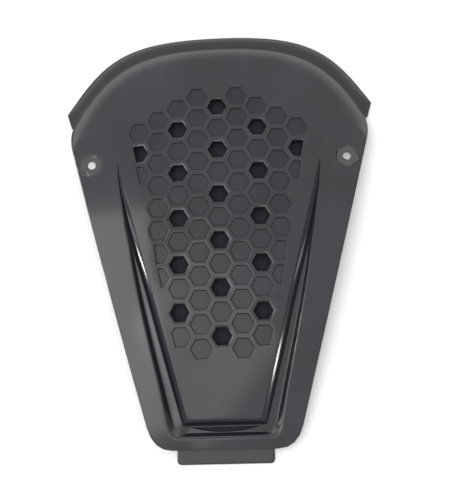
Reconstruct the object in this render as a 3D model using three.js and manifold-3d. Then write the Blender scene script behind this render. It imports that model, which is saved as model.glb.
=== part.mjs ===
// Back protector insert: a domed hard shell with hexagon vents, over a mesh pad and a thin backing liner.
// Millimetres, +Z up. It lies outer face up, neck edge towards +Y, with its wing tips and waist tab on z = 0.
// Levels inside a piece are counted from the dome's surface, and each point is lifted onto the dome.

import * as THREE from 'three';
import { mergeVertices } from 'three/addons/utils/BufferGeometryUtils.js';
import Module from 'manifold-3d';

// Dome that every piece follows
const crownHeight = 29;
const crownY = 53.8;
const acrossRadius = 635;
const alongRadius = 1660;

// Thicknesses and levels, counted down from the dome's surface
const gap = 0.3;
const shellWall = 2;
const channelDepth = 5.2;
const padThickness = 2;
const linerThickness = 2;
const padTop = -(channelDepth + shellWall + gap);
const padBottom = padTop - padThickness;
const linerTop = padBottom - gap;
const linerBottom = linerTop - linerThickness;

// Shell outline, right half: neck edge, wing corner, straight side, waist corner, waist edge
const shellCentre = { x: 0, y: 20 };
const shellNeckY = 179.9;
const shellNeckHandleX = 71.3;
const wingHandle = { x: 103, y: 171 };
const wingStart = { x: 136.9, y: 111.9 };
const wingCorner = { x: 141.3, y: 103.5 };
const wingEnd = { x: 138, y: 90 };
const waistStart = { x: 67, y: -166 };
const waistCorner = { x: 61.6, y: -185.5 };
const waistEdgeX = 45;
const shellWaistY = -185.5;

// Rolled rim: deep at the neck and waist, shallow along the open sides
const rollRadius = 4.5;
const sideRimDepth = 5;
const endRimDepth = 9.5;
const neckRim = { shallowY: 84, deepY: 106 };
const waistRim = { shallowY: -166, deepY: -180 };

// Middle panel and the channel round it; the channel is a notch at its tips and gains a floor lower down
const panelHalfWidthAtZero = 74.5;
const panelSlope = 0.2638;
const channelWallWidth = 5.7;
const channelMinFloor = 0.8;
const channelStations = [
  { y: 69, width: 1.6 },
  { y: 37, width: 4.8 },
  { y: 6, width: 7.6 },
  { y: -30, width: 11.2 },
  { y: -56, width: 13.8 },
  { y: -98, width: 16.2 },
  { y: -132, width: 17 },
];
const waistChannel = { panel: -160.1, floorInner: -165.3, floorOuter: -171.5, flange: -176 };
const channelCornerOuterX = 47.2;
const waistShares = [1, 0.6, 0.2, -0.2, -0.6, -1];

// Vent slot in the channel floor at the foot of the panel: straight above, bowed below
const slotHalfWidth = 30;
const slotTopY = -165.6;
const slotBow = 5.6;

// Hexagon field: flat-topped cells in columns, odd columns half a row down, with a slanted edge each side
const hexPitch = 21;
const hexTopY = 119.3;
const recessAcrossFlats = 16.6;
const ventAcrossFlats = 15;
const recessDepth = 0.7;
const fieldHalfWidthAtZero = 60.6;
const fieldSlope = 0.2044;
const hexColumns = [
  { column: 0, firstRow: 0, lastRow: 10, ventRows: [0, 2, 4, 6, 8, 10] },
  { column: 1, firstRow: -0.5, lastRow: 10.5, ventRows: [] },
  { column: 2, firstRow: 0, lastRow: 10, ventRows: [1, 3, 5, 7, 9] },
  { column: 3, firstRow: 0.5, lastRow: 7.5, ventRows: [] },
  { column: 4, firstRow: 1, lastRow: 4, ventRows: [2] },
];

// Rivet seats in the wings: level discs with a hole
const seatX = 117.35;
const seatY = 70.2;
const seatRadius = 9.8;
const seatHubRadius = 10.6;
const seatWall = 2.4;
const seatDrop = 0.2;
const rivetHoleRadius = 3.75;

// Mesh pad outline
const padCentre = { x: 0, y: 20 };
const padMargin = 7;
const padNeckY = 145;
const padWaistY = -173;
const padCorner = 10;

// Liner outline: lip along the neck, wing ends, hidden sides, waist tab
const linerCentre = { x: 0, y: 60 };
const lipNeckY = 197.8;
const lipNeckHandleX = 83.8;
const lipHandle = { x: 108.1, y: 189.5 };
const lipTip = { x: 146.1, y: 129.5 };
const lipEnd = { x: 141.3, y: 114.4 };
const linerArmpit = { x: 100, y: 114 };
const linerSide = { x: 88, y: 40 };
const linerFoot = { x: 41, y: -187 };
const tabHalfWidth = 41.8;
const tabRootY = -186;
const tabEndY = -197.8;
const tabCornerRadius = 4;
const tabThickness = 2.3;

// Facets
const curveSteps = 8;
const longestStep = 36;
const circleSides = 20;
const shellShares = [0.12, 0.36, 0.6, 0.84];
const padShares = [0.1, 0.3, 0.5, 0.7, 0.88];
const linerShares = [0.1, 0.28, 0.46, 0.64, 0.8, 0.94];

// How far a cutter passes the face that it cuts, and a length past the whole object
const overcut = 1;
const far = 300;

const wasm = await Module();
wasm.setup();

const fallAcross = (x) => x ** 2 / (2 * acrossRadius);
const fallAlong = (y) => (y - crownY) ** 2 / (2 * alongRadius);
const domeHeight = (x, y) => crownHeight - fallAcross(x) - fallAlong(y);
const restingHeight = (x, y) => Math.max(domeHeight(x, y), -linerBottom);
const panelEdge = (y) => panelHalfWidthAtZero + panelSlope * y;
const fieldEdge = (y) => fieldHalfWidthAtZero + fieldSlope * y;

// A closed geometry as a solid that can be joined and cut
function solidOf(geometry) {
  const bare = new THREE.BufferGeometry();
  bare.setAttribute('position', geometry.getAttribute('position'));
  bare.setIndex(geometry.getIndex());
  const merged = mergeVertices(bare);
  return new wasm.Manifold(new wasm.Mesh({
    numProp: 3,
    vertProperties: new Float32Array(merged.getAttribute('position').array),
    triVerts: new Uint32Array(merged.getIndex().array),
  }));
}

function geometryOf(solid) {
  const mesh = solid.getMesh();
  const geometry = new THREE.BufferGeometry();
  geometry.setAttribute('position', new THREE.BufferAttribute(mesh.vertProperties, 3));
  geometry.setIndex(new THREE.BufferAttribute(mesh.triVerts, 1));
  return geometry;
}

// A whole outline from its right half, which runs from the neck's middle down to the waist's middle
function mirroredRing(drawHalf) {
  const half = new THREE.Path();
  drawHalf(half);
  const right = [];
  half.getPoints(curveSteps).forEach((point, i, all) => {
    const from = all[Math.max(i - 1, 0)];
    const parts = Math.ceil(from.distanceTo(point) / longestStep);
    for (let k = 1; k < parts; k += 1) {
      right.push(from.clone().lerp(point, k / parts));
    }
    right.push(point);
  });
  const left = right.map((point) => new THREE.Vector2(-point.x, point.y));
  return [...left.slice(0, -1), ...right.toReversed().slice(0, -1)];
}

// The outline moved inwards by one distance all round
function insetRing(ring, distance) {
  return ring.map((point, i) => {
    const along = ring[(i + 1) % ring.length].clone().sub(ring.at(i - 1)).normalize();
    return new THREE.Vector2(point.x - along.y * distance, point.y + along.x * distance);
  });
}

function shrunkRing(ring, centre, share) {
  return ring.map((point) => point.clone().sub(centre).multiplyScalar(share).add(centre));
}

// A ring lifted to its level over a curved surface; the level may change along the length
function lifted(ring, level, heightAt) {
  return ring.map((point) => {
    const offset = typeof level === 'function' ? level(point.y) : level;
    return new THREE.Vector3(point.x, point.y, heightAt(point.x, point.y) + offset);
  });
}

const onDome = (place, level) => lifted([place], level, domeHeight)[0];

// A closed body through a row of sections with the same number of corners
function loft(sections) {
  const corners = sections[0].length;
  const positions = sections.flat().flatMap((point) => point.toArray());
  const index = [];
  for (let s = 0; s < sections.length - 1; s += 1) {
    for (let c = 0; c < corners; c += 1) {
      const a = s * corners + c;
      const b = s * corners + ((c + 1) % corners);
      index.push(a, b, a + corners, b, b + corners, a + corners);
    }
  }
  const last = (sections.length - 1) * corners;
  for (let c = 1; c < corners - 1; c += 1) {
    index.push(0, c + 1, c);
    index.push(last, last + c, last + c + 1);
  }
  const geometry = new THREE.BufferGeometry();
  geometry.setAttribute('position', new THREE.Float32BufferAttribute(positions, 3));
  geometry.setIndex(index);
  return solidOf(geometry);
}

// A curved sheet between two levels, in rings that close towards its centre
function sheet(outline, centre, shares, bottom, top, heightAt) {
  const rings = [...shares.map((share) => shrunkRing(outline, centre, share)), outline];
  const under = rings.map((ring) => lifted(ring, bottom, heightAt));
  const over = rings.toReversed().map((ring) => lifted(ring, top, heightAt));
  return loft([...under, ...over]);
}

// A flat plate between two heights
function plate(shape, bottom, top) {
  const geometry = new THREE.ExtrudeGeometry(shape, {
    depth: top - bottom,
    bevelEnabled: false,
    curveSegments: curveSteps,
  });
  return solidOf(geometry.translate(0, 0, bottom));
}

function upright(radius, x, y, bottom, top) {
  const geometry = new THREE.CylinderGeometry(radius, radius, top - bottom, circleSides);
  geometry.rotateX(Math.PI / 2);
  return solidOf(geometry.translate(x, y, (bottom + top) / 2));
}

// Level of the rim's lower edge
function rimLevel(y) {
  const shares = [neckRim, waistRim].map(({ shallowY, deepY }) => (y - shallowY) / (deepY - shallowY));
  const share = THREE.MathUtils.clamp(Math.max(...shares), 0, 1);
  return -THREE.MathUtils.lerp(sideRimDepth, endRimDepth, share);
}

// The shell before anything is cut: a domed lid with a rolled rim
function shellLid() {
  const outline = mirroredRing((half) => {
    half.moveTo(0, shellNeckY);
    half.bezierCurveTo(shellNeckHandleX, shellNeckY, wingHandle.x, wingHandle.y, wingStart.x, wingStart.y);
    half.quadraticCurveTo(wingCorner.x, wingCorner.y, wingEnd.x, wingEnd.y);
    half.lineTo(waistStart.x, waistStart.y);
    half.quadraticCurveTo(waistCorner.x, waistCorner.y, waistEdgeX, shellWaistY);
    half.lineTo(0, shellWaistY);
  });
  const rolledOver = insetRing(outline, rollRadius);
  const middle = shellShares.map((share) => shrunkRing(rolledOver, shellCentre, share));
  const halfway = 1 - Math.SQRT1_2;
  const innerRoll = rollRadius - shellWall;
  const rings = [
    ...middle.map((ring) => ({ ring, level: -shellWall })),
    { ring: rolledOver, level: -shellWall },
    { ring: insetRing(outline, shellWall + halfway * innerRoll), level: -shellWall - halfway * innerRoll },
    { ring: insetRing(outline, shellWall), level: -rollRadius },
    { ring: insetRing(outline, shellWall), level: rimLevel },
    { ring: outline, level: rimLevel },
    { ring: outline, level: -rollRadius },
    { ring: insetRing(outline, halfway * rollRadius), level: -halfway * rollRadius },
    { ring: rolledOver, level: 0 },
    ...middle.toReversed().map((ring) => ({ ring, level: 0 })),
  ];
  return loft(rings.map(({ ring, level }) => lifted(ring, level, domeHeight)));
}

// Plan places across the channel, panel side to flange side, down the right, along the waist and up the left
function channelSections() {
  const right = channelStations.map(({ y, width }) => {
    const wall = Math.min(channelWallWidth, (width - channelMinFloor) / 2);
    return {
      depth: (channelDepth * wall) / channelWallWidth,
      places: [0, wall, width - wall, width].map((offset) => new THREE.Vector2(panelEdge(y) + offset, y)),
    };
  });
  const waist = waistShares.map((share) => ({
    depth: channelDepth,
    places: Object.values(waistChannel).map((y) => {
      const cornerX = THREE.MathUtils.mapLinear(
        y, waistChannel.panel, waistChannel.flange, panelEdge(waistChannel.panel), channelCornerOuterX);
      return new THREE.Vector2(share * cornerX, y);
    }),
  }));
  const left = right.toReversed().map(({ depth, places }) => ({
    depth,
    places: places.map((place) => new THREE.Vector2(-place.x, place.y)),
  }));
  return [...right, ...waist, ...left];
}

// The open space of the channel, from its floor up past the surface
function channelCut() {
  return loft(channelSections().map(({ depth, places: [panel, inner, outer, flange] }) => [
    onDome(panel, overcut),
    onDome(panel, 0),
    onDome(inner, -depth),
    onDome(outer, -depth),
    onDome(flange, 0),
    onDome(flange, overcut),
  ]));
}

// The plastic round the channel: the same sections, one wall larger
function channelTrough() {
  const lip = 0.6 * shellWall;
  const foot = 0.4 * shellWall;
  return loft(channelSections().map(({ depth, places: [panel, inner, outer, flange] }) => {
    const outwards = flange.clone().sub(panel).normalize();
    return [
      onDome(panel.addScaledVector(outwards, -lip), -lip),
      onDome(inner.addScaledVector(outwards, -foot), -depth - shellWall),
      onDome(outer.addScaledVector(outwards, foot), -depth - shellWall),
      onDome(flange.addScaledVector(outwards, lip), -lip),
    ];
  }));
}

// Hexagon prisms of one kind, trimmed to the slanted field and lifted onto the dome
function hexagonCutter(wantVents) {
  const corner = (wantVents ? ventAcrossFlats : recessAcrossFlats) / Math.sqrt(3);
  const bottom = wantVents ? -shellWall - overcut : -recessDepth;
  const prisms = [];
  for (const { column, firstRow, lastRow, ventRows } of hexColumns) {
    for (const side of column === 0 ? [1] : [1, -1]) {
      for (let row = firstRow; row <= lastRow; row += 1) {
        if (ventRows.includes(row) !== wantVents) continue;
        const prism = new THREE.CylinderGeometry(corner, corner, overcut - bottom, 6);
        prism.rotateX(Math.PI / 2).rotateZ(Math.PI / 2);
        const x = (side * column * hexPitch * Math.sqrt(3)) / 2;
        prisms.push(solidOf(prism.translate(x, hexTopY - row * hexPitch, (overcut + bottom) / 2)));
      }
    }
  }
  const ends = [-far / 2, far / 2];
  const field = new THREE.Shape([
    ...ends.map((y) => new THREE.Vector2(fieldEdge(y), y)),
    ...ends.toReversed().map((y) => new THREE.Vector2(-fieldEdge(y), y)),
  ]);
  const trimmed = prisms.reduce((all, prism) => all.add(prism))
    .intersect(plate(field, bottom - overcut, 2 * overcut));
  const flat = geometryOf(trimmed);
  const position = flat.getAttribute('position');
  for (let i = 0; i < position.count; i += 1) {
    position.setZ(i, position.getZ(i) + domeHeight(position.getX(i), position.getY(i)));
  }
  return solidOf(flat);
}

function slotCutter() {
  const shape = new THREE.Shape();
  shape.moveTo(-slotHalfWidth, slotTopY);
  shape.quadraticCurveTo(0, slotTopY - 2 * slotBow, slotHalfWidth, slotTopY);
  return plate(shape, 0, far);
}

function outerShell() {
  let shell = shellLid()
    .add(channelTrough())
    .subtract(channelCut())
    .subtract(slotCutter())
    .subtract(hexagonCutter(true))
    .subtract(hexagonCutter(false));
  const seatLevel = domeHeight(seatX, seatY) - seatDrop;
  for (const x of [seatX, -seatX]) {
    shell = shell.add(upright(seatHubRadius, x, seatY, seatLevel - seatWall, seatLevel))
      .subtract(upright(seatRadius, x, seatY, seatLevel, far))
      .subtract(upright(rivetHoleRadius, x, seatY, -far, far));
  }
  const overTab = new THREE.BoxGeometry(far, far, far);
  overTab.translate(0, padWaistY - far / 2, tabThickness + gap - far / 2);
  return shell.subtract(solidOf(overTab));
}

function meshPad() {
  const neckX = fieldEdge(padNeckY) + padMargin;
  const waistX = fieldEdge(padWaistY) + padMargin;
  const cornerLean = fieldSlope * padCorner;
  const outline = mirroredRing((half) => {
    half.moveTo(0, padNeckY);
    half.lineTo(neckX - padCorner, padNeckY);
    half.lineTo(neckX - cornerLean, padNeckY - padCorner);
    half.lineTo(waistX + cornerLean, padWaistY + padCorner);
    half.lineTo(waistX - padCorner, padWaistY);
    half.lineTo(0, padWaistY);
  });
  return sheet(outline, padCentre, padShares, padBottom, padTop, domeHeight);
}

function backingLiner() {
  const outline = mirroredRing((half) => {
    half.moveTo(0, lipNeckY);
    half.bezierCurveTo(lipNeckHandleX, lipNeckY, lipHandle.x, lipHandle.y, lipTip.x, lipTip.y);
    half.lineTo(lipEnd.x, lipEnd.y);
    half.quadraticCurveTo(linerArmpit.x, linerArmpit.y, linerSide.x, linerSide.y);
    half.lineTo(linerFoot.x, linerFoot.y);
    half.lineTo(0, linerFoot.y);
  });
  const tab = new THREE.Shape();
  tab.moveTo(tabHalfWidth, tabRootY);
  tab.lineTo(-tabHalfWidth, tabRootY);
  tab.lineTo(-tabHalfWidth, tabEndY + tabCornerRadius);
  tab.quadraticCurveTo(-tabHalfWidth, tabEndY, tabCornerRadius - tabHalfWidth, tabEndY);
  tab.lineTo(tabHalfWidth - tabCornerRadius, tabEndY);
  tab.quadraticCurveTo(tabHalfWidth, tabEndY, tabHalfWidth, tabEndY + tabCornerRadius);
  return sheet(outline, linerCentre, linerShares, linerBottom, linerTop, restingHeight)
    .add(plate(tab, 0, tabThickness));
}

function part(name, solid, color, roughness) {
  const material = new THREE.MeshStandardMaterial({ color, roughness, metalness: 0 });
  const geometry = geometryOf(solid);
  geometry.computeVertexNormals();
  const mesh = new THREE.Mesh(geometry, material);
  mesh.name = name;
  return mesh;
}

const protector = new THREE.Group();
protector.add(part('outer_shell', outerShell(), 0x2b2c2e, 0.45));
protector.add(part('mesh_pad', meshPad(), 0x1b1d24, 0.95));
protector.add(part('backing_liner', backingLiner(), 0x303133, 0.6));

export default protector;
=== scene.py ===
import math

import bmesh
import bpy
from mathutils import Matrix, Vector


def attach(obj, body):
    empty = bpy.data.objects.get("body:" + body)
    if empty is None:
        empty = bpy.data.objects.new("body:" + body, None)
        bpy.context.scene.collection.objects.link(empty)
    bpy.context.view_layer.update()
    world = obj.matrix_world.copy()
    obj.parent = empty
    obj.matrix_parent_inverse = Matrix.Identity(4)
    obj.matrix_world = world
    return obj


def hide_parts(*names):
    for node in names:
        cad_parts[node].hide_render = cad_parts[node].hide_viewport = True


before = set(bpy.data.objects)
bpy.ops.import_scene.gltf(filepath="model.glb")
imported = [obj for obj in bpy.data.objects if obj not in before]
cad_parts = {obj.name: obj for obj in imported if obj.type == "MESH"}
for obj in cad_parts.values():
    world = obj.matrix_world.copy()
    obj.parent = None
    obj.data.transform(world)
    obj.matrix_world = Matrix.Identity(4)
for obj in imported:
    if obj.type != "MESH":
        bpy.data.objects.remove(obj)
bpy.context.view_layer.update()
mm = 0.001  # sizes below are in millimetres and become metres when a mesh is finished
weld = 0.004  # points nearer to each other than this become one
print("frame loaded:", sorted(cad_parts))


# The dome that every layer follows
dome = {"crown": 29.0, "crownY": 53.8, "across": 635.0, "along": 1660.0}


def domeHeight(x, y):
    return dome["crown"] - x ** 2 / (2 * dome["across"]) - (y - dome["crownY"]) ** 2 / (2 * dome["along"])


def bezier(points, t):
    while len(points) > 1:
        points = [a.lerp(b, t) for a, b in zip(points, points[1:])]
    return points[0]


def steps(first, last, count):
    return [first + (last - first) * i / (count - 1) for i in range(count)]


def rampShare(y, ramp):
    return min(max((y - ramp[0]) / (ramp[1] - ramp[0]), 0.0), 1.0)


def smooth(t):
    return t * t * (3 - 2 * t)


def alongLine(points, step):
    out = []
    for a, b in zip(points, points[1:]):
        count = max(1, round((b - a).length / step))
        out += [a.lerp(b, i / count) for i in range(count)]
    return out + [points[-1]]


def mirrored(spoke):
    return [Vector((-p.x, p.y, p.z)) for p in spoke]


def wholeRing(rightSpokes):
    # right half from the neck's middle to the waist's middle, then the left half back up
    return rightSpokes + [mirrored(spoke) for spoke in reversed(rightSpokes[1:-1])]


def layGrid(bm, spokes):
    # one row of points for each spoke
    made = bmesh.ops.create_grid(bm, x_segments=len(spokes[0]) - 1, y_segments=len(spokes) - 1, size=1.0)
    for vert, point in zip(made["verts"], [p for spoke in spokes for p in spoke]):
        vert.co = point
    return made["verts"]


def wrapGrid(bm, spokes):
    # a grid bent into a closed band, its last row welded to the first
    bmesh.ops.remove_doubles(bm, verts=layGrid(bm, spokes + spokes[:1]), dist=weld)


def faceUp(bm):
    bmesh.ops.recalc_face_normals(bm, faces=bm.faces)
    if sum(face.normal.z * face.calc_area() for face in bm.faces) < 0:
        bmesh.ops.reverse_faces(bm, faces=bm.faces)


def borderEdges(bm):
    return [edge for edge in bm.edges if edge.is_boundary]


def finishMesh(bm, name, sharpAngle=40):
    bmesh.ops.scale(bm, vec=(mm, mm, mm), verts=bm.verts)
    for face in bm.faces:
        face.smooth = True
    mesh = bpy.data.meshes.new(name)
    bm.to_mesh(mesh)
    bm.free()
    mesh.set_sharp_from_angle(angle=math.radians(sharpAngle))
    piece = bpy.data.objects.new(name, mesh)
    bpy.context.collection.objects.link(piece)
    print("made", name, len(mesh.polygons), "faces")
    return piece


# Backing liner: lip with a bead along the neck, straight wing ends, hidden sides, waist tab
liner = {
    "top": -9.8,
    "thickness": 2.0,
    "neck": [(0, 197.8), (83.8, 197.8), (108.1, 189.5), (146.1, 129.5)],
    "lipSpokes": 41,
    # the wing's end, and along which part of the neck the spokes turn to its direction
    "wingEnd": (141.3, 114.4),
    "endTurn": (0.72, 1.0),
    "armpit": (100, 114),
    "armpitPoints": 15,
    "side": (88, 40),
    "sideSpacing": 12.0,
    "foot": (41.8, -184),
    "tabEnd": -197.8,
    "tabSpacing": 6.0,
    "tabCorner": 4.0,
    "cornerPoints": 7,
    # ends of the middle line that the body's spokes start from, and its height against their outer ends
    "spine": (150.0, -160.0),
    "spineShare": 0.86,
    "bodyRings": 11,
    "hemRings": 7,
    "hemStart": 0.96,
    # distance in from the lip's edge, and the level there
    "lip": [(16, -0.9), (13.5, -0.35), (11, 0.0), (8.6, 0.15), (6.4, 0.15), (4.2, 0.0), (3.4, -0.13), (2.7, -0.29),
            (2.0, -0.46), (1.3, -0.64), (0.7, -0.82), (0.3, -1.1), (0, -1.6)],
    # the same for the plain edge of the other sides
    "hem": [(1.4, 0.0), (0.6, -0.1), (0.15, -0.4), (0, -0.8)],
    "weld": 0.01,
}


def restingHeight(x, y):
    # the dome, held up where the liner would go through the floor
    return max(domeHeight(x, y), liner["thickness"] - liner["top"])


def lipSpokes():
    # right half of the lip, from the neck's middle to the wing end, each spoke from inside to the edge
    neck = [Vector(p) for p in liner["neck"]]
    endWay = (Vector(liner["wingEnd"]) - neck[-1]).normalized()
    nearby = 0.01
    spokes = []
    for t in steps(0, 1, liner["lipSpokes"]):
        edge = bezier(neck, t)
        along = bezier(neck, min(t + nearby, 1)) - bezier(neck, max(t - nearby, 0))
        inward = Vector((along.y, -along.x)).normalized()
        inward = inward.lerp(endWay, smooth(rampShare(t, liner["endTurn"]))).normalized()
        spokes.append([(edge + inward * inset).to_3d() + Vector((0, 0, level)) for inset, level in liner["lip"]])
    return spokes


def hemPoints(start):
    # edge points below the lip: armpit, side, tab
    side, foot = Vector(liner["side"]), Vector(liner["foot"])
    armpit = [start, Vector(liner["armpit"]), side]
    points = [bezier(armpit, t) for t in steps(0, 1, liner["armpitPoints"])[1:]]
    points += alongLine([side, foot], liner["sideSpacing"])[1:]
    low, corner = liner["tabEnd"], liner["tabCorner"]
    below = Vector((foot.x, low + corner))
    points.append(foot.lerp(below, 0.5))
    turn = [below, Vector((foot.x, low)), Vector((foot.x - corner, low))]
    points += [bezier(turn, t) for t in steps(0, 1, liner["cornerPoints"])]
    return points + alongLine([turn[-1], Vector((0, low))], liner["tabSpacing"])[1:]


def makeLiner():
    bm = bmesh.new()
    lip = lipSpokes()
    layGrid(bm, [mirrored(spoke) for spoke in reversed(lip[1:])] + lip)
    high, low = liner["spine"]
    body = []
    for end in [spoke[0] for spoke in lip]:
        spine = Vector((0, min(end.y * liner["spineShare"], high), 0))
        body.append([spine.lerp(end, share) for share in steps(0, 1, liner["bodyRings"])])
    for edge in hemPoints(lip[-1][0].to_2d()):
        end = edge.to_3d()
        spine = Vector((0, max(end.y * liner["spineShare"], low), 0))
        inward = (spine - end).normalized()
        hem = [end + inward * inset + Vector((0, 0, level)) for inset, level in liner["hem"]]
        body.append([spine.lerp(hem[0], share) for share in steps(0, liner["hemStart"], liner["hemRings"])] + hem)
    wrapGrid(bm, wholeRing(body))
    bmesh.ops.remove_doubles(bm, verts=bm.verts, dist=liner["weld"])
    for vert in bm.verts:
        vert.co.z += restingHeight(vert.co.x, vert.co.y) + liner["top"]
    faceUp(bm)
    # a smooth underside, so the tab and the wing tips lie on the floor
    under = bmesh.ops.duplicate(bm, geom=bm.faces[:])["geom"]
    for vert in [g for g in under if isinstance(g, bmesh.types.BMVert)]:
        vert.co.z = restingHeight(vert.co.x, vert.co.y) + liner["top"] - liner["thickness"]
    bmesh.ops.reverse_faces(bm, faces=[g for g in under if isinstance(g, bmesh.types.BMFace)])
    bmesh.ops.bridge_loops(bm, edges=borderEdges(bm))
    return finishMesh(bm, "liner_sheet")


# Moulded shell
shell = {
    "wall": 2.0,
    "neck": [(0, 180.7), (71.6, 180.7), (103.6, 171.6), (136.9, 111.9)],
    "wing": [(136.9, 111.9), (141.3, 103.5), (138, 90)],
    "waist": [(67, -166), (61.6, -185.5), (45, -185.5)],
    "waistSpread": 50,
    # spokes: how many along the neck, where round the wing, and at which heights down the side
    "neckSpokes": 29,
    "wingSpokes": (0.2, 0.4, 0.6, 0.8),
    "sideSpokes": (90, 76, 69, 63, 51, 46, 39, 32, 24, 17, 10, 3, -4, -10, -17, -24, -30, -40, -50, -62, -75, -87,
                   -100, -110, -121),
    # how far in the rim starts to bend and how far it bends down, then the radius of its edge
    "neckRoll": (15.0, 2.05),
    "sideRoll": (0.8, 0.03),
    "rollLoops": 7,
    "edgeRadius": 1.1,
    "edgeLoops": 6,
    # height of the rim at the sides and at both ends, and between which heights it changes
    "sideRim": 5.0,
    "endRim": 9.5,
    "skirtLoops": (0.5, 1),
    "neckRim": (84, 106),
    "waistRim": (-166, -180),
    # how far the rim stays above the liner, also a little to the side of the tab
    "clear": 0.75,
    "tabMargin": 1.0,
    "sharp": 26,
}

# Channel round the middle panel, and its run across the waist
channel = {
    "panelAtZero": 73.6,
    "panelSlope": 0.2638,
    # y, then the widths of the inner wall, the floor and the outer wall, and the depth
    "sections": [
        (70, 0.4, 0.1, 0.1, 0.1),
        (57, 3.0, 0.1, 0.1, 1.1),
        (48, 4.3, 0.1, 0.1, 1.5),
        (39, 5.2, 0.1, 0.1, 1.9),
        (29, 5.6, 0.15, 0.2, 2.3),
        (10, 7.1, 0.3, 1.0, 3.6),
        (-9, 7.4, 0.5, 1.7, 4.5),
        (-27, 7.1, 2.2, 2.2, 4.9),
        (-45, 6.8, 3.6, 2.6, 5.1),
        (-63, 6.7, 4.5, 2.9, 5.2),
        (-98, 6.8, 5.6, 3.2, 5.3),
        (-132, 6.7, 6.3, 3.5, 5.2),
    ],
    # how far the inner wall swells out in its middle, for each square millimetre of depth
    "bulge": 0.0135,
    "waistRows": (-160.1, -165.3, -171.3, -174.8),
    "cornerX": (31.4, 36.4, 42.4, 46.8),
    # depth in the corner, and how much of the change to it comes before and after
    "cornerDepth": 4.4,
    "cornerShares": (0.6, 0.5),
    # spokes on the way into the corner and past it, and the height where the first one meets the rim
    "intoCorner": (0.4, 0.75, 0.9),
    "pastCorner": (0.92, 0.86),
    "cornerEdgeY": -149,
    # roundings at the panel's edge, both edges of the floor and the flange, along the sides and across the waist
    "sideReaches": (0.5, 1.2, 0.8, 1.0),
    "waistReaches": (0.5, 0.9, 0.4, 2.2),
    "mostReach": 0.42,
    "roundLoops": 5,
    # where the loops lie between the bends
    "panelLoops": (0, 0.35, 0.7, 0.95),
    "wallLoops": (0.25, 0.5, 0.75),
    "floorLoops": (0.35, 0.65),
    "flangeLoops": (0.05, 0.15, 0.4, 0.65, 0.88),
    # along the neck, where there is no channel, the same loops lie flat
    "neckShare": 0.3,
    "neckOffsets": (0, 0.4, 1.2, 1.6),
}

# Vent slot in the channel's floor, and the spokes across it as shares of the waist
slot = {"halfWidth": 30.0, "top": -166.5, "bow": 4.3, "level": 0.01,
        "shares": (0.8, 0.77, 0.7, 0.6, 0.5, 0.4, 0.3, 0.2, 0.1, 0.0)}

# Hexagon field
recess, vent = 1, 2  # what a hexagon becomes
hexes = {
    "pitch": 21.0,
    "top": 119.3,
    "edgeAtZero": 60.6,
    "edgeSlope": 0.2044,
    "rib": 3.06,
    "shortest": 2.6,
    "weld": 0.02,
    "columns": [
        {"column": 0, "rows": (0, 10), "vents": (0, 2, 4, 6, 8, 10)},
        {"column": 1, "rows": (-0.5, 10.5), "vents": ()},
        {"column": 2, "rows": (0, 10), "vents": (1, 3, 5, 7, 9)},
        {"column": 3, "rows": (0.5, 7.5), "vents": ()},
        {"column": 4, "rows": (1, 3), "vents": (2,)},
    ],
    # inset and drop of each step from the rib down to the floor of a recess, and into a vent
    "recessSteps": [(1.85, 0.0), (0.1, -0.03), (0.7, -0.95), (0.15, -0.03), (0.5, 0.0)],
    "ventSteps": [(0.85, 0.0), (0.45, -0.09), (1.45, -0.53), (0.25, -0.65)],
    # painted shade in the recesses, darker towards the neck: how much their specular level is lowered at the top and
    # at the bottom of the field, and between which heights; this also makes them rougher
    "floorPaintedShade": (-0.15, -0.03),
    "floorRows": (-90, 70),
}

# Smooth loop just outside the hexagons: an arch over them, straight sides, a corner and a straight foot
border = {
    "halfWidth": 88.5,
    "top": 146.0,
    "fall": 32.0,
    "gap": 5.4,
    # heights on its side between which the spokes of the wing and of the long side start
    "wingRows": (112.5, 92.5),
    "sideRows": (88, -100),
    "corner": (42.5, -114),
    "foot": (36, -117),
}

# Rivet seats: level discs with a tail towards the open side
seat = {
    "x": 117.35,
    "y": 70.2,
    "radius": 10.0,
    "hole": 3.5,
    "drop": 0.2,
    "points": 48,
    # the tail: how far out its straight sides would meet, where it is cut off, and which way it points
    "tail": 12.9,
    "tip": 11.6,
    "tailWay": (0.97, -0.24),
    # rings over the rim: distance from the outline, and share of the way to the disc's level
    "rim": [(0.9, 0), (0.2, 0.12), (-0.4, 0.6), (-0.9, 0.95)],
    # rings on the disc, then into the hole: distance from the hole's edge, and drop
    "disc": (7.4, 5.6, 4.3),
    "holeLip": [(0.15, 0.12), (0, 0.45)],
    # what is taken out of the wing for it: half the height, the inner side, and the gap to the wing's edge
    "window": 13.0,
    "windowX": 100,
    "windowGap": 2,
    # painted highlight on the disc as extra specular level, the rim's slight drop that also makes it rougher, and how
    # level a face of the disc is
    "paintedShadeAndSheen": 0.36,
    "rimSheen": -0.03,
    "level": 0.08,
}


def panelEdge(y):
    return channel["panelAtZero"] + channel["panelSlope"] * y


def fieldEdge(y):
    return hexes["edgeAtZero"] + hexes["edgeSlope"] * y


def channelSection(y):
    rows = channel["sections"]
    for high, low in zip(rows, rows[1:]):
        if high[0] >= y >= low[0]:
            t = (high[0] - y) / (high[0] - low[0])
            return [a + (b - a) * t for a, b in zip(high[1:], low[1:])]
    return [*rows[0][1:4], 0.0]


def slotSag(x):
    return slot["bow"] * (1 - (x / slot["halfWidth"]) ** 2)


def borderArch(share):
    x = share * border["halfWidth"]
    return Vector((x, border["top"] - border["fall"] * (x / border["halfWidth"]) ** 2))


def borderSide(y):
    return Vector((fieldEdge(y) + border["gap"], y))


def sideEdge(y):
    top, bottom = Vector(shell["wing"][-1]), Vector(shell["waist"][0])
    return top.lerp(bottom, (top.y - y) / (top.y - bottom.y))


def sideCorners(y):
    inner, floor, outer, depth = channelSection(y)
    offsets = (0, inner, inner + floor, inner + floor + outer)
    return [Vector((panelEdge(y) + offset, y)) for offset in offsets], depth


def waistCorners(share):
    return [Vector((share * x, y)) for x, y in zip(channel["cornerX"], channel["waistRows"])]


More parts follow.
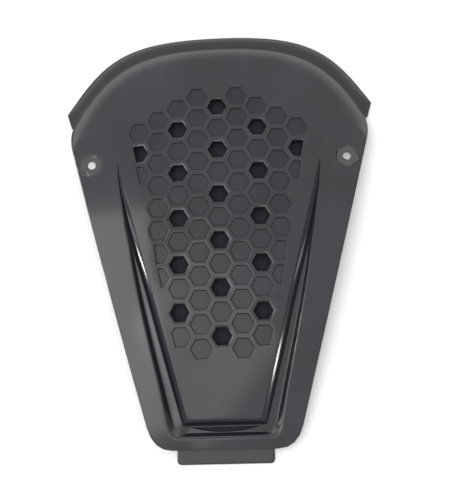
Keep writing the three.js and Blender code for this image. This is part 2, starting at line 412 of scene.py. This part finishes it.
def shellSpokes():
    # each spoke runs from the hexagon field's border across panel edge, channel and flange to the rim
    spokes = []
    neck, wing, waist = ([Vector(p) for p in shell[key]] for key in ("neck", "wing", "waist"))

    def add(start, corners, depth, edge, slotPair=None):
        spokes.append({"border": start, "corners": corners, "depth": depth, "edge": edge, "slot": slotPair})

    def addFlat(start, edge):
        first = start.lerp(edge, channel["neckShare"])
        along = (edge - start).normalized()
        add(start, [first + along * offset for offset in channel["neckOffsets"]], 0.0, edge)

    for t in steps(0, 1, shell["neckSpokes"]):
        addFlat(borderArch(t), bezier(neck, t))
    high, low = border["wingRows"]
    for t in shell["wingSpokes"]:
        addFlat(borderSide(high + (low - high) * t), bezier(wing, t))
    # down the side, with a spoke at both ends of the seat's window and at the last straight section
    last, fullDepth = channel["sections"][-1][0], channel["sections"][-1][-1]
    window = [seat["y"] + seat["window"], seat["y"] - seat["window"]]
    first, (high, low) = shell["sideSpokes"][0], border["sideRows"]
    for y in sorted([*shell["sideSpokes"], *window, last], reverse=True):
        corners, depth = sideCorners(y)
        add(borderSide(high + (y - first) * (high - low) / (first - last)), corners, depth, sideEdge(y))
    # from there into the corner, which is mitred inside and rounded outside
    lastCorners, foot = sideCorners(last)[0], Vector(border["foot"])
    turn = [borderSide(low), Vector(border["corner"]), foot]
    early, middle, late = channel["intoCorner"]
    after, farther = channel["pastCorner"]
    mitre, beyond = waistCorners(1), waistCorners(farther)
    rise = channel["cornerDepth"] - fullDepth
    riseBefore, riseAfter = (share * rise for share in channel["cornerShares"])

    def intoCorner(share):
        return [a.lerp(b, share) for a, b in zip(lastCorners, mitre)]

    before = intoCorner(middle)

    def roundTurn(t, corners):
        return corners[:2] + [bezier([before[i], mitre[i], beyond[i]], t) for i in (2, 3)]

    def footAt(share):
        return Vector((share * foot.x, foot.y))

    add(bezier(turn, early), intoCorner(early), fullDepth, sideEdge(channel["cornerEdgeY"]))
    add(bezier(turn, middle), before, fullDepth + riseBefore, bezier(waist, 0.0))
    add(bezier(turn, late), roundTurn(0.25, intoCorner(late)), fullDepth + rise, bezier(waist, 0.25))
    add(foot, roundTurn(0.5, mitre), fullDepth + rise, bezier(waist, 0.5))
    add(footAt(after), roundTurn(0.75, waistCorners(after)), fullDepth + rise, bezier(waist, 0.75))
    add(footAt(farther), beyond, fullDepth + riseAfter, bezier(waist, 1.0))
    # across the waist, with the slot in the channel's floor
    slotX = slot["halfWidth"] / slot["shares"][0]
    for share in slot["shares"]:
        x = share * slotX
        pair = (Vector((x, slot["top"])), Vector((x, slot["top"] - slotSag(x))))
        edge = Vector((share * shell["waistSpread"], waist[-1].y))
        add(footAt(share), waistCorners(share), fullDepth, edge, pair)
    return spokes


def roundedCorner(before, corner, after, reach):
    towards = [end - corner for end in (before, after)]
    ends = [corner + way.normalized() * min(reach, channel["mostReach"] * way.length) for way in towards]
    return [bezier([ends[0], corner, ends[1]], t) for t in steps(0, 1, channel["roundLoops"])]


def rimProfile(edge, outward):
    # the bend towards the edge, the rounded edge and the skirt below it
    neckShare = smooth(rampShare(edge.y, shell["neckRim"]))
    rollIn, rollDown = (a + (b - a) * neckShare for a, b in zip(shell["sideRoll"], shell["neckRoll"]))
    rimShare = max(neckShare, smooth(rampShare(edge.y, shell["waistRim"])))
    rim = shell["sideRim"] + (shell["endRim"] - shell["sideRim"]) * rimShare
    radius, lean = shell["edgeRadius"], math.atan(2 * rollDown / rollIn)

    def rimPoint(inset, drop):
        return edge - outward * inset - Vector((0, 0, drop))

    start = radius * (1 - math.sin(lean))
    rolled = [rimPoint(start + rollIn * (1 - t), rollDown * t * t) for t in steps(0, 1, shell["rollLoops"])]
    rolled += [rimPoint(radius * (1 - math.sin(a)), rollDown + radius * (math.cos(lean) - math.cos(a)))
               for a in steps(lean, math.pi / 2, shell["edgeLoops"])[1:]]
    bottom = edge.z - rolled[-1].z
    return rolled + [rimPoint(0, bottom + (rim - bottom) * share) for share in shell["skirtLoops"]]


def shellProfile(spoke, outward):
    flat = [p.to_3d() for p in (spoke["border"], *spoke["corners"], spoke["edge"])]
    depth = Vector((0, 0, -spoke["depth"]))
    line = [flat[0], flat[1], flat[2] + depth, flat[3] + depth, flat[4], flat[5]]
    reaches = channel["waistReaches" if spoke["corners"][3].y < channel["waistRows"][1] else "sideReaches"]
    swell = Vector((0, 0, 4 * channel["bulge"] * spoke["depth"] ** 2))
    wall = [line[1].lerp(line[2], t) + swell * t * (1 - t) for t in channel["wallLoops"]]
    ends = [(line[0], wall[0]), (wall[-1], line[3]), (line[2], line[4]), (line[3], line[5])]
    rounded = [roundedCorner(before, corner, after, reach)
               for (before, after), corner, reach in zip(ends, line[1:], reaches)]
    floor = [rounded[1][-1].lerp(rounded[2][0], share) for share in channel["floorLoops"]]
    if spoke["slot"]:
        floor = [p.to_3d() + depth for p in spoke["slot"]]
    rim = rimProfile(line[5], outward)
    panel = [line[0].lerp(rounded[0][0], share) for share in channel["panelLoops"]]
    flange = [rounded[3][-1].lerp(rim[0], share) for share in channel["flangeLoops"]]
    return panel + rounded[0] + wall + rounded[1] + floor + rounded[2] + rounded[3] + flange + rim


def outwardAt(edges, i):
    along = edges[(i + 1) % len(edges)] - edges[i - 1]
    return Vector((-along.y, along.x, 0)).normalized()


def cellPlaces(row):
    # the place of each cell in its column, and where that is
    for i in range(int(row["rows"][1] - row["rows"][0]) + 1):
        place = row["rows"][0] + i
        yield place, row["column"] * hexes["pitch"] * math.sqrt(3) / 2, hexes["top"] - place * hexes["pitch"]


def addCells(bm, kinds, row):
    radius = hexes["pitch"] / math.sqrt(3)
    turned = Matrix.Rotation(math.pi / 6, 4, "Z")
    for place, x, y in cellPlaces(row):
        spot = Matrix.Translation((x, y, 0)) @ turned
        made = bmesh.ops.create_circle(bm, cap_ends=True, radius=radius, segments=6, matrix=spot)
        made["verts"][0].link_faces[0][kinds] = vent if place in row["vents"] else recess


def honeycomb(bm, kinds):
    # the right columns are cut off along the field's edge and mirrored, then the middle column goes in
    for row in hexes["columns"][1:]:
        addCells(bm, kinds, row)
    bmesh.ops.remove_doubles(bm, verts=bm.verts, dist=hexes["weld"])
    bmesh.ops.bisect_plane(bm, geom=bm.verts[:] + bm.edges[:] + bm.faces[:], clear_outer=True,
                           plane_co=(hexes["edgeAtZero"] + hexes["rib"], 0, 0), plane_no=(1, -hexes["edgeSlope"], 0))
    bmesh.ops.remove_doubles(bm, verts=bm.verts, dist=hexes["shortest"])
    bmesh.ops.mirror(bm, geom=bm.verts[:] + bm.edges[:] + bm.faces[:], axis="X", merge_dist=0.0)
    addCells(bm, kinds, hexes["columns"][0])
    bmesh.ops.remove_doubles(bm, verts=bm.verts, dist=hexes["weld"])


def sinkHexes(bm, kinds, paintedShadeAndSheen):
    for kind, stepsDown in ((recess, hexes["recessSteps"]), (vent, hexes["ventSteps"])):
        cells = [face for face in bm.faces if face[kinds] == kind]
        rings = []
        for inset, drop in stepsDown:
            made = bmesh.ops.inset_individual(bm, faces=cells, thickness=inset, depth=drop, use_even_offset=True)
            rings.append(made["faces"])
        if kind == vent:
            bmesh.ops.delete(bm, geom=cells, context="FACES")
        else:
            # painted shade: the recess floors and walls get a lower specular level, most near the neck
            high, low = hexes["floorPaintedShade"]
            for face in sum(rings[1:], cells):
                face[paintedShadeAndSheen] = low + (high - low) * rampShare(face.calc_center_median().y, hexes["floorRows"])


def cutOpenings(bm):
    # the vent slot, and a window in each wing for the rivet seat
    depth = channel["sections"][-1][-1]
    gone = []
    for face in bm.faces:
        spot = face.calc_center_median()
        inSlot = slot["top"] - slotSag(spot.x) < spot.y < slot["top"] and abs(spot.z + depth) < slot["level"]
        inWing = seat["windowX"] < abs(spot.x) < sideEdge(spot.y).x - seat["windowGap"]
        if inSlot or (inWing and abs(spot.y - seat["y"]) < seat["window"]):
            gone.append(face)
    bmesh.ops.delete(bm, geom=gone, context="FACES")


def seatSpokes(side):
    # rings from the surface down or up to the level disc and into the rivet hole
    centre = Vector((side * seat["x"], seat["y"], 0))
    level = domeHeight(seat["x"], seat["y"]) - seat["drop"]
    tailWay = Vector((side * seat["tailWay"][0], seat["tailWay"][1], 0))
    tangent = math.acos(seat["radius"] / seat["tail"])
    spokes = []
    for i in range(seat["points"]):
        angle = 2 * math.pi * i / seat["points"]
        way = Vector((math.cos(angle), math.sin(angle), 0))
        lean = math.acos(max(-1.0, min(1.0, way.dot(tailWay))))
        reach = seat["radius"] / math.cos(tangent - lean) if lean < tangent else seat["radius"]
        reach = min(reach, seat["tip"])
        # distance from the middle, share of the way to the disc's level, and drop into the hole
        rings = [(reach + out, share, 0) for out, share in seat["rim"]]
        rings += [(radius, 1, 0) for radius in seat["disc"]]
        rings += [(seat["hole"] + out, 1, drop) for out, drop in seat["holeLip"]]
        points = []
        for radius, share, drop in rings:
            p = centre + way * radius
            p.z = share * (level - domeHeight(p.x, p.y)) - drop
            points.append(p)
        spokes.append(points)
    return spokes


def addSeats(bm, paintedShadeAndSheen):
    shaped = set(bm.faces)
    for side in (1, -1):
        wrapGrid(bm, seatSpokes(side))
    # painted highlight: the level discs get a higher specular level so they look brighter; their rims get a slightly
    # lower one and more roughness
    for face in [face for face in bm.faces if face not in shaped]:
        spot = face.calc_center_median()
        step = spot.z + domeHeight(spot.x, spot.y) - domeHeight(seat["x"], seat["y"]) + seat["drop"]
        face[paintedShadeAndSheen] = seat["paintedShadeAndSheen"] if abs(step) < seat["level"] else seat["rimSheen"]


def liftOntoDome(bm):
    # over the liner's lip and its tab the rim stops short of it
    for vert in bm.verts:
        spot = vert.co
        spot.z += domeHeight(spot.x, spot.y)
        if spot.y > 0 or abs(spot.x) < liner["foot"][0] + shell["tabMargin"]:
            spot.z = max(spot.z, restingHeight(spot.x, spot.y) + liner["top"] + shell["clear"])


def makeShell():
    # laid out flat first, with the channel and the rim below zero, then lifted and given its wall
    bm = bmesh.new()
    kinds = bm.faces.layers.int.new("cellKind")
    # a face layer that carries painted shade in the recesses and a painted highlight on the seat discs
    paintedShadeAndSheen = bm.faces.layers.float.new("paintedShadeAndSheen")
    honeycomb(bm, kinds)
    spokes = shellSpokes()
    edges = [s["edge"].to_3d() for s in spokes]
    edges += [Vector((-e.x, e.y, 0)) for e in reversed(edges[1:-1])]
    right = [shellProfile(s, outwardAt(edges, i)) for i, s in enumerate(spokes)]
    wrapGrid(bm, wholeRing(right))
    cutOpenings(bm)
    addSeats(bm, paintedShadeAndSheen)
    # plain surface between the hexagons and the panel, and round the seats
    flush = 1e-4
    loose = [e for e in borderEdges(bm) if max(abs(v.co.z) for v in e.verts) < flush]
    bmesh.ops.triangle_fill(bm, use_beauty=True, use_dissolve=False, edges=loose, normal=(0, 0, 1))
    bmesh.ops.remove_doubles(bm, verts=bm.verts, dist=weld)
    faceUp(bm)
    sinkHexes(bm, kinds, paintedShadeAndSheen)
    liftOntoDome(bm)
    bm.normal_update()
    bmesh.ops.solidify(bm, geom=bm.faces, thickness=shell["wall"])
    return finishMesh(bm, "shell_moulding", shell["sharp"])


# Mesh-faced pad under the shell
pad = {
    "top": -7.5,
    "thickness": 2.0,
    "margin": 7.0,
    "neckY": 145.0,
    "waistY": -173.0,
    "corner": 10.0,
    "centreY": 20.0,
    "rings": 30,
    "spacing": 4.5,
    # the cover is free this far round the middle of a vent; the last value guards against a wild simulation
    "freeRadius": 8.5,
    "pressure": 70.0,
    "frames": 20,
    "mostSwell": 1.4,
}


def ventCentres():
    for row in hexes["columns"]:
        for place, x, y in cellPlaces(row):
            if place in row["vents"]:
                yield Vector((x, y))
                yield Vector((-x, y))


def swellPad(piece):
    # foam pressure swells the cover in the vents; the shell's ribs hold it everywhere else
    vents = list(ventCentres())
    held = piece.vertex_groups.new(name="held")
    for vert in piece.data.vertices:
        spot = vert.co / mm
        near = min((spot.to_2d() - centre).length for centre in vents)
        under = spot.z < domeHeight(spot.x, spot.y) + pad["top"] - pad["thickness"] / 2
        if under or near > pad["freeRadius"]:
            held.add([vert.index], 1.0, "REPLACE")
    cover = piece.modifiers.new("swell", "CLOTH")
    cover.settings.vertex_group_mass = held.name
    cover.settings.use_pressure = True
    cover.settings.uniform_pressure_force = pad["pressure"]
    cover.settings.effector_weights.gravity = 0.0
    for number in range(1, pad["frames"] + 1):
        bpy.context.scene.frame_set(number)
    swollen = piece.evaluated_get(bpy.context.evaluated_depsgraph_get())
    moves = [after.co - before.co for before, after in zip(piece.data.vertices, swollen.data.vertices)]
    piece.modifiers.remove(cover)
    piece.vertex_groups.clear()
    for vert, move in zip(piece.data.vertices, moves):
        vert.co += move * min(1.0, pad["mostSwell"] * mm / max(move.length, mm * mm))
    bpy.context.scene.frame_set(1)
    print("pad swollen by", round(max(move.length for move in moves) / mm, 2), "mm")


def makePad():
    neckX = fieldEdge(pad["neckY"]) + pad["margin"]
    waistX = fieldEdge(pad["waistY"]) + pad["margin"]
    lean = hexes["edgeSlope"] * pad["corner"]
    corners = [(0, pad["neckY"]), (neckX - pad["corner"], pad["neckY"]), (neckX - lean, pad["neckY"] - pad["corner"]),
               (waistX + lean, pad["waistY"] + pad["corner"]), (waistX - pad["corner"], pad["waistY"]),
               (0, pad["waistY"])]
    centre = Vector((0, pad["centreY"], 0))
    outline = alongLine([Vector((x, y, 0)) for x, y in corners], pad["spacing"])
    spokes = [[centre.lerp(p, share) for share in steps(0, 1, pad["rings"])] for p in outline]
    bm = bmesh.new()
    wrapGrid(bm, wholeRing(spokes))
    for vert in bm.verts:
        vert.co.z = domeHeight(vert.co.x, vert.co.y) + pad["top"]
    faceUp(bm)
    bmesh.ops.solidify(bm, geom=bm.faces, thickness=pad["thickness"])
    piece = finishMesh(bm, "mesh_pad_cloth")
    swellPad(piece)
    return piece


# Materials
def linear(hexColour):
    parts = [int(hexColour[i:i + 2], 16) / 255 for i in (1, 3, 5)]
    return [c / 12.92 if c <= 0.04045 else ((c + 0.055) / 1.055) ** 2.4 for c in parts] + [1.0]


def addNode(tree, kind, links=None, **settings):
    node = tree.nodes.new(kind)
    for name, value in settings.items():
        if name in node.inputs:
            node.inputs[name].default_value = value
        else:
            setattr(node, name, value)
    for name, socket in (links or {}).items():
        tree.links.new(socket, node.inputs[name])
    return node


def addNoise(tree, size, detail):
    # clouds or grain, its size in millimetres
    where = addNode(tree, "ShaderNodeTexCoord").outputs["Object"]
    return addNode(tree, "ShaderNodeTexNoise", {"Vector": where}, Scale=1 / (size * mm), Detail=detail).outputs["Fac"]


def addRange(tree, source, ends, results, **settings):
    sockets = {"From Min": ends[0], "From Max": ends[1], "To Min": results[0], "To Max": results[1]}
    return addNode(tree, "ShaderNodeMapRange", {"Value": source}, **sockets, **settings).outputs["Result"]


def addMath(tree, operation, first, second):
    return addNode(tree, "ShaderNodeMath", {0: first, 1: second}, operation=operation).outputs["Value"]


def tintBy(tree, shader, source, colours, ends=(0.0, 1.0)):
    ramp = addNode(tree, "ShaderNodeValToRGB", {"Fac": source})
    for element, colour, end in zip(ramp.color_ramp.elements, colours, ends):
        element.position = end
        element.color = linear(colour)
    tree.links.new(ramp.outputs["Color"], shader.inputs["Base Color"])


def bumpBy(tree, shader, source, strength, height):
    bump = addNode(tree, "ShaderNodeBump", {"Height": source}, Strength=strength, Distance=height * mm)
    tree.links.new(bump.outputs["Normal"], shader.inputs["Normal"])


def newMaterial(name, **shaderSettings):
    material = bpy.data.materials.new(name)
    material.use_nodes = True
    shader = material.node_tree.nodes["Principled BSDF"]
    for key, value in shaderSettings.items():
        shader.inputs[key].default_value = value
    return material, material.node_tree, shader


def mouldedPolypropylene():
    # injection-moulded black polypropylene: a satin skin with fine spark grain, which greys under soft light
    material, tree, shader = newMaterial("moulded_polypropylene", IOR=1.49)
    clouds, cloudEnds = addNoise(tree, size=60, detail=3.0), (0.3, 0.75)
    tintBy(tree, shader, clouds, ("#131419", "#18191f"), cloudEnds)
    # handling marks cloud the gloss a little; the recesses get painted shade, a lower specular level, and are
    # rougher, and the seat discs get a painted highlight, a higher one
    gloss = addRange(tree, clouds, cloudEnds, (0.42, 0.48))
    paintedShadeAndSheen = addNode(tree, "ShaderNodeAttribute", attribute_name="paintedShadeAndSheen").outputs["Fac"]
    tree.links.new(addMath(tree, "ADD", gloss, paintedShadeAndSheen), shader.inputs["Specular IOR Level"])
    dull = addRange(tree, clouds, cloudEnds, (0.11, 0.15))
    rougher = addRange(tree, paintedShadeAndSheen, (hexes["floorPaintedShade"][1], 0.0), (0.25, 0.0))
    tree.links.new(addMath(tree, "ADD", dull, rougher), shader.inputs["Roughness"])
    # spark grain of 0.9 mm, coarser than the real few tenths, so that it shows
    bumpBy(tree, shader, addNoise(tree, size=0.9, detail=2.0), strength=0.04, height=0.12)
    return material


def knittedMesh():
    # warp-knitted polyester mesh: upright ribs with small holes between, blue-black and quite without gloss
    material, tree, shader = newMaterial("knitted_polyester_mesh", Roughness=0.95)
    where = addNode(tree, "ShaderNodeTexCoord").outputs["Object"]
    # ribs every 1.7 mm and rows every 2.2 mm, coarser than a real knit of about 1 mm, so that they show
    ribGap, rowGap, wave = 1.7 * mm, 2.2 * mm, 0.314  # a wave of scale 1 repeats every 0.314 m
    ribs = addNode(tree, "ShaderNodeTexWave", {"Vector": where}, Scale=wave / ribGap, bands_direction="X")
    rows = addNode(tree, "ShaderNodeTexWave", {"Vector": where}, Scale=wave / rowGap, bands_direction="Y")
    both = addMath(tree, "MULTIPLY", ribs.outputs["Fac"], rows.outputs["Fac"])
    tintBy(tree, shader, both, ("#0b0c13", "#1a1c2b"))
    bumpBy(tree, shader, both, strength=0.8, height=0.5)
    return material


def mattSheet():
    # extruded black sheet, pressed to shape: flatter and greyer than the shell, with a faint pebble
    material, tree, shader = newMaterial("pressed_plastic_sheet", **{"IOR": 1.48, "Specular IOR Level": 0.39})
    clouds = addNoise(tree, size=45, detail=2.0)
    tintBy(tree, shader, clouds, ("#151517", "#1b1b1d"))
    tree.links.new(addRange(tree, clouds, (0.0, 1.0), (0.18, 0.23)), shader.inputs["Roughness"])
    bumpBy(tree, shader, addNoise(tree, size=1.2, detail=1.0), strength=0.15, height=0.15)
    return material


# Pieces on the frame
shellPiece = makeShell()
shellPiece.data.materials.append(mouldedPolypropylene())
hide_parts("outer_shell")

padPiece = makePad()
padPiece.data.materials.append(knittedMesh())
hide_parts("mesh_pad")

linerPiece = makeLiner()
linerPiece.data.materials.append(mattSheet())
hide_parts("backing_liner")

for piece in (shellPiece, padPiece, linerPiece):
    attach(piece, "root")
print("pieces dressed")


# Floor, light and camera
studio = {
    "floorSize": 6.0,
    "lights": [
        # name, place and aim in metres, size, power, and how wide it spreads if it is narrowed
        ("key", (-1.2, -0.175, 1.45), (0, 0, 0), (1.3, 1.4), 15.0),
        ("ceiling", (-0.26, -0.21, 2.0), (0, 0, 0), (1.0, 1.0), 4.2),
        ("left_window", (-2.0, 0.173, 0.5), (0, 0, 0.02), (0.314, 0.46), 1.35),
        ("left_lamp", (-2.0, -0.1, 0.36), (0, 0, 0.02), (0.11, 0.14), 2.5),
        ("left_strip", (-2.0, 0.452, 0.435), (0, 0, 0.02), (0.236, 0.193), 8.6),
        ("right_window", (2.0, -0.094, 0.45), (0, 0, 0.02), (0.296, 0.141), 0.72),
        ("right_lamp", (2.0, -0.68, 0.41), (0, 0, 0.02), (0.17, 0.18), 4.2),
        # under each wing, so that the rivet holes show the floor as light as in the photo
        ("left_hole_light", (-0.1105, 0.0645, 0.0125), (-0.1213, 0.0761, 0), (0.004, 0.004), 0.00066, 60),
        ("right_hole_light", (0.1105, 0.0645, 0.0125), (0.1197, 0.0761, 0), (0.004, 0.004), 0.0004, 60),
    ],
    # room light: strength overhead, on the side walls, and at the brightest of the back and front walls, with the
    # heights between which each changes, and how far round the back and front walls begin
    "room": {"overhead": 1.5, "dark": 0.6, "sides": (0.5, 0.74), "back": 3.0, "backRise": (0.2, 0.36),
             "front": (0.1, 0.74), "turn": (0.2, 0.55)},
    # the camera's place in metres, its angles in degrees, its lens and sensor in millimetres
    "camera": (0.03125, -0.1492, 0.6107),
    "tilt": 12.83,
    "lean": 2.32,
    "roll": -1.45,
    "focal": 49.23,
    "sensor": 36.0,
}


def makeFloor():
    bm = bmesh.new()
    bmesh.ops.create_grid(bm, x_segments=4, y_segments=4, size=studio["floorSize"] / 2 / mm)
    floor = finishMesh(bm, "floor")
    # white paper: quite matt, with faint clouds of tone
    material, tree, shader = newMaterial("white_paper_sweep", Roughness=0.9)
    tintBy(tree, shader, addNoise(tree, size=300, detail=2.0), ("#d2d2d2", "#d6d6d6"))
    floor.data.materials.append(material)


def makeLight(name, place, aim, size, power, spread=180):
    data = bpy.data.lights.new(name, "AREA")
    data.shape = "RECTANGLE"
    data.size, data.size_y = size
    data.energy = power
    data.spread = math.radians(spread)
    light = bpy.data.objects.new(name, data)
    light.location = place
    light.rotation_euler = (Vector(aim) - Vector(place)).to_track_quat("-Z", "Y").to_euler()
    bpy.context.collection.objects.link(light)


def makeRoomLight():
    room = studio["room"]
    world = bpy.data.worlds.new("soft_room")
    world.use_nodes = True
    tree = world.node_tree
    way = addNode(tree, "ShaderNodeTexCoord").outputs["Generated"]
    parts = addNode(tree, "ShaderNodeSeparateXYZ", {"Vector": way})

    def change(source, ends, low, high):
        return addRange(tree, source, ends, (low, high), interpolation_type="SMOOTHSTEP")

    def blend(share, first, second):
        return addNode(tree, "ShaderNodeMix", {"Factor": share, "A": first, "B": second}).outputs["Result"]

    height, along = parts.outputs["Z"], parts.outputs["Y"]
    sides = change(height, room["sides"], room["dark"], room["overhead"])
    glow = change(height, (room["backRise"][1], room["sides"][1]), room["back"], room["overhead"])
    low = change(height, room["backRise"], room["dark"] / room["back"], 1.0)
    front = change(height, room["front"], room["dark"], room["overhead"])
    turned = blend(change(along, room["turn"], 0.0, 1.0), sides, addMath(tree, "MULTIPLY", glow, low))
    whole = blend(change(along, [-y for y in room["turn"]], 0.0, 1.0), turned, front)
    tree.links.new(whole, tree.nodes["Background"].inputs["Strength"])
    tree.nodes["Background"].inputs["Color"].default_value = linear("#ffffff")
    bpy.context.scene.world = world


def makeCamera():
    tilt, lean, roll = (math.radians(studio[key]) for key in ("tilt", "lean", "roll"))
    back = Vector((math.sin(lean) * math.cos(tilt), -math.sin(tilt), math.cos(tilt) * math.cos(lean))).normalized()
    up = (Vector((0, 1, 0)) - back * back.y).normalized()
    right = up.cross(back)
    turnedRight = right * math.cos(roll) + up * math.sin(roll)
    turnedUp = up * math.cos(roll) - right * math.sin(roll)
    data = bpy.data.cameras.new("camera")
    data.sensor_fit = "VERTICAL"
    data.sensor_height = studio["sensor"]
    data.lens = studio["focal"]
    camera = bpy.data.objects.new("camera", data)
    axes = Matrix((turnedRight, turnedUp, back)).transposed().to_4x4()
    camera.matrix_world = Matrix.Translation(studio["camera"]) @ axes
    bpy.context.collection.objects.link(camera)
    bpy.context.scene.camera = camera


makeFloor()
for light in studio["lights"]:
    makeLight(*light)
makeRoomLight()
bpy.context.scene.view_settings.view_transform = "Standard"
makeCamera()
print("studio set")
